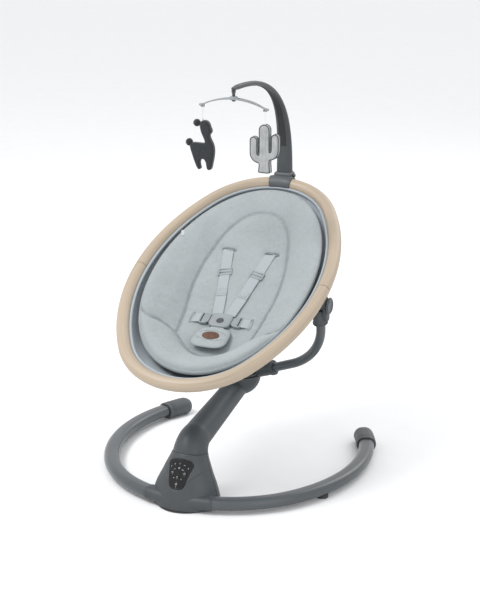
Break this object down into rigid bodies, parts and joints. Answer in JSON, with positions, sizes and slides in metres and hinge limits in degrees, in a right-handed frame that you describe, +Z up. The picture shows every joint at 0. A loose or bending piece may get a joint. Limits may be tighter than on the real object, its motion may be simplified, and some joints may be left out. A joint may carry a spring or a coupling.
{
  "type": "baby swing",
  "caption": "Motorised baby swing: open ring base, drive housing with touch panel, swinging arm, swivelling yoke, reclining oval bowl seat with harness, and a toy arm with mobile.",
  "frame": {"origin": "centre of the housing's foot pad, on the floor", "axes": "+X to the object's left-right (seen from the front, right), +Y towards the back and the seat's head end, +Z up"},
  "size_m": [0.6144, 0.6329, 0.8685],
  "materials": {
    "base_tube_left": "satin",
    "base_tube_right": "satin",
    "end_cap_left": "matte",
    "end_cap_right": "matte",
    "rubber_feet": "matte",
    "chassis": "matte",
    "tube_sockets": "matte",
    "housing_front": "satin",
    "housing_rear": "satin",
    "control_panel": "gloss",
    "indicator_lights": "gloss",
    "circuit_board": "satin",
    "speaker": "matte",
    "power_inlet": "matte",
    "drive_coil": "satin",
    "spindle_carrier": "matte",
    "spindle_bearings": "satin",
    "power_button": "satin",
    "speed_button": "satin",
    "timer_button": "satin",
    "music_button": "satin",
    "spindle": "satin",
    "drive_lever": "matte",
    "drive_magnet": "satin",
    "arm_root": "matte",
    "arm_cover_upper": "satin",
    "arm_cover_lower": "satin",
    "hub_bowl": "satin",
    "hub_pin": "satin",
    "thrust_washer": "satin",
    "hub_nut": "satin",
    "turntable": "satin",
    "yoke_bracket": "satin",
    "yoke_tube_left": "satin",
    "yoke_tube_right": "satin",
    "pivot_heads": "satin",
    "swivel_latch": "satin",
    "recline_button_left": "satin",
    "recline_button_right": "satin",
    "ring_tube_head": "satin",
    "ring_tube_foot": "satin",
    "ring_joiners": "satin",
    "pivot_lugs": "satin",
    "toy_socket": "satin",
    "seat_sling": "soft",
    "seat_cushion": "soft",
    "harness_straps": "woven",
    "harness_buckle": "satin",
    "crotch_pad": "soft",
    "leather_patch": "matte",
    "strap_adjuster_left": "satin",
    "strap_adjuster_right": "satin",
    "buckle_button": "satin",
    "toy_release": "satin",
    "toy_arm": "satin",
    "mobile_crossbar": "satin",
    "string_left": "satin",
    "toy_llama": "felt",
    "string_right": "satin",
    "toy_cactus": "felt"
  },
  "bodies": {
    "base": {"base_tube_left": "base_tube_left", "base_tube_right": "base_tube_right", "end_cap_left": "end_cap_left", "end_cap_right": "end_cap_right", "rubber_feet": "rubber_feet", "chassis": "chassis", "tube_sockets": "tube_sockets", "housing_front": "housing_front", "housing_rear": "housing_rear", "control_panel": "control_panel", "indicator_lights": "indicator_lights", "circuit_board": "circuit_board", "speaker": "speaker", "power_inlet": "power_inlet", "drive_coil": "drive_coil", "spindle_carrier": "spindle_carrier", "spindle_bearings": "spindle_bearings"},
    "power_key": {"power_button": "power_button"},
    "speed_key": {"speed_button": "speed_button"},
    "timer_key": {"timer_button": "timer_button"},
    "music_key": {"music_button": "music_button"},
    "arm": {"spindle": "spindle", "drive_lever": "drive_lever", "drive_magnet": "drive_magnet", "arm_root": "arm_root", "arm_cover_upper": "arm_cover_upper", "arm_cover_lower": "arm_cover_lower", "hub_bowl": "hub_bowl", "hub_pin": "hub_pin", "thrust_washer": "thrust_washer", "hub_nut": "hub_nut"},
    "yoke": {"turntable": "turntable", "yoke_bracket": "yoke_bracket", "yoke_tube_left": "yoke_tube_left", "yoke_tube_right": "yoke_tube_right", "pivot_heads": "pivot_heads"},
    "latch": {"swivel_latch": "swivel_latch"},
    "recline_key_left": {"recline_button_left": "recline_button_left"},
    "recline_key_right": {"recline_button_right": "recline_button_right"},
    "seat": {"ring_tube_head": "ring_tube_head", "ring_tube_foot": "ring_tube_foot", "ring_joiners": "ring_joiners", "pivot_lugs": "pivot_lugs", "toy_socket": "toy_socket", "seat_sling": "seat_sling", "seat_cushion": "seat_cushion", "harness_straps": "harness_straps", "harness_buckle": "harness_buckle", "crotch_pad": "crotch_pad", "leather_patch": "leather_patch"},
    "adjuster_left": {"strap_adjuster_left": "strap_adjuster_left"},
    "adjuster_right": {"strap_adjuster_right": "strap_adjuster_right"},
    "buckle_key": {"buckle_button": "buckle_button"},
    "release_key": {"toy_release": "toy_release"},
    "toy_mast": {"toy_arm": "toy_arm"},
    "mobile": {"mobile_crossbar": "mobile_crossbar"},
    "llama": {"string_left": "string_left", "toy_llama": "toy_llama"},
    "cactus": {"string_right": "string_right", "toy_cactus": "toy_cactus"}
  },
  "joints": [
    {"name": "swing", "type": "hinge", "parent": "base", "child": "arm", "pos_m": [0, 0, 0], "axis": [0, 0.2079, 0.9781], "range_deg": [-12, 12]},
    {"name": "swivel", "type": "hinge", "parent": "arm", "child": "yoke", "pos_m": [0, 0.284, 0.20629], "axis": [0, 0, 1], "range_deg": [-90, 90]},
    {"name": "swivel_latch_press", "type": "slide", "parent": "yoke", "child": "latch", "axis": [0, 1, 0], "range_m": [0, 0.004], "stiffness_N_per_m": 500, "springref_m": -0.002},
    {"name": "recline", "type": "hinge", "parent": "yoke", "child": "seat", "pos_m": [0, 0.22226, 0.41222], "axis": [1, 0, 0], "range_deg": [-16, 0]},
    {"name": "recline_press_left", "type": "slide", "parent": "yoke", "child": "recline_key_left", "axis": [1, 0, 0], "range_m": [0, 0.0026], "stiffness_N_per_m": 600, "springref_m": -0.002},
    {"name": "recline_press_right", "type": "slide", "parent": "yoke", "child": "recline_key_right", "axis": [-1, 0, 0], "range_m": [0, 0.0026], "stiffness_N_per_m": 600, "springref_m": -0.002},
    {"name": "power_press", "type": "slide", "parent": "base", "child": "power_key", "axis": [0, 0.8807, -0.4736], "range_m": [0, 0.0008], "stiffness_N_per_m": 400, "springref_m": -0.0008},
    {"name": "speed_press", "type": "slide", "parent": "base", "child": "speed_key", "axis": [0, 0.8807, -0.4736], "range_m": [0, 0.0008], "stiffness_N_per_m": 400, "springref_m": -0.0008},
    {"name": "timer_press", "type": "slide", "parent": "base", "child": "timer_key", "axis": [0, 0.8807, -0.4736], "range_m": [0, 0.0008], "stiffness_N_per_m": 400, "springref_m": -0.0008},
    {"name": "music_press", "type": "slide", "parent": "base", "child": "music_key", "axis": [0, 0.8807, -0.4736], "range_m": [0, 0.0008], "stiffness_N_per_m": 400, "springref_m": -0.0008},
    {"name": "adjust_left", "type": "slide", "parent": "seat", "child": "adjuster_left", "axis": [0.207, -0.7992, -0.5643], "range_m": [-0.02, 0.02]},
    {"name": "adjust_right", "type": "slide", "parent": "seat", "child": "adjuster_right", "axis": [-0.207, -0.7992, -0.5643], "range_m": [-0.02, 0.02]},
    {"name": "buckle_press", "type": "slide", "parent": "seat", "child": "buckle_key", "axis": [0, 0.4617, -0.887], "range_m": [0, 0.0012], "stiffness_N_per_m": 500, "springref_m": -0.001},
    {"name": "toy_release_press", "type": "slide", "parent": "seat", "child": "release_key", "axis": [-1, 0, 0], "range_m": [0, 0.0016], "stiffness_N_per_m": 500, "springref_m": -0.001},
    {"name": "toy_arm_lift", "type": "slide", "parent": "seat", "child": "toy_mast", "axis": [0, 0, 1], "range_m": [0, 0.05]},
    {"name": "mobile_turn", "type": "hinge", "parent": "toy_mast", "child": "mobile", "pos_m": [0, 0.25171, 0.84198], "axis": [0, 0, 1], "continuous": true},
    {"name": "llama_swing", "type": "hinge", "parent": "mobile", "child": "llama", "pos_m": [-0.074, 0.25171, 0.82085], "axis": [1, 0, 0], "range_deg": [-35, 35]},
    {"name": "cactus_swing", "type": "hinge", "parent": "mobile", "child": "cactus", "pos_m": [0.074, 0.25171, 0.82085], "axis": [1, 0, 0], "range_deg": [-35, 35]}
  ]
}
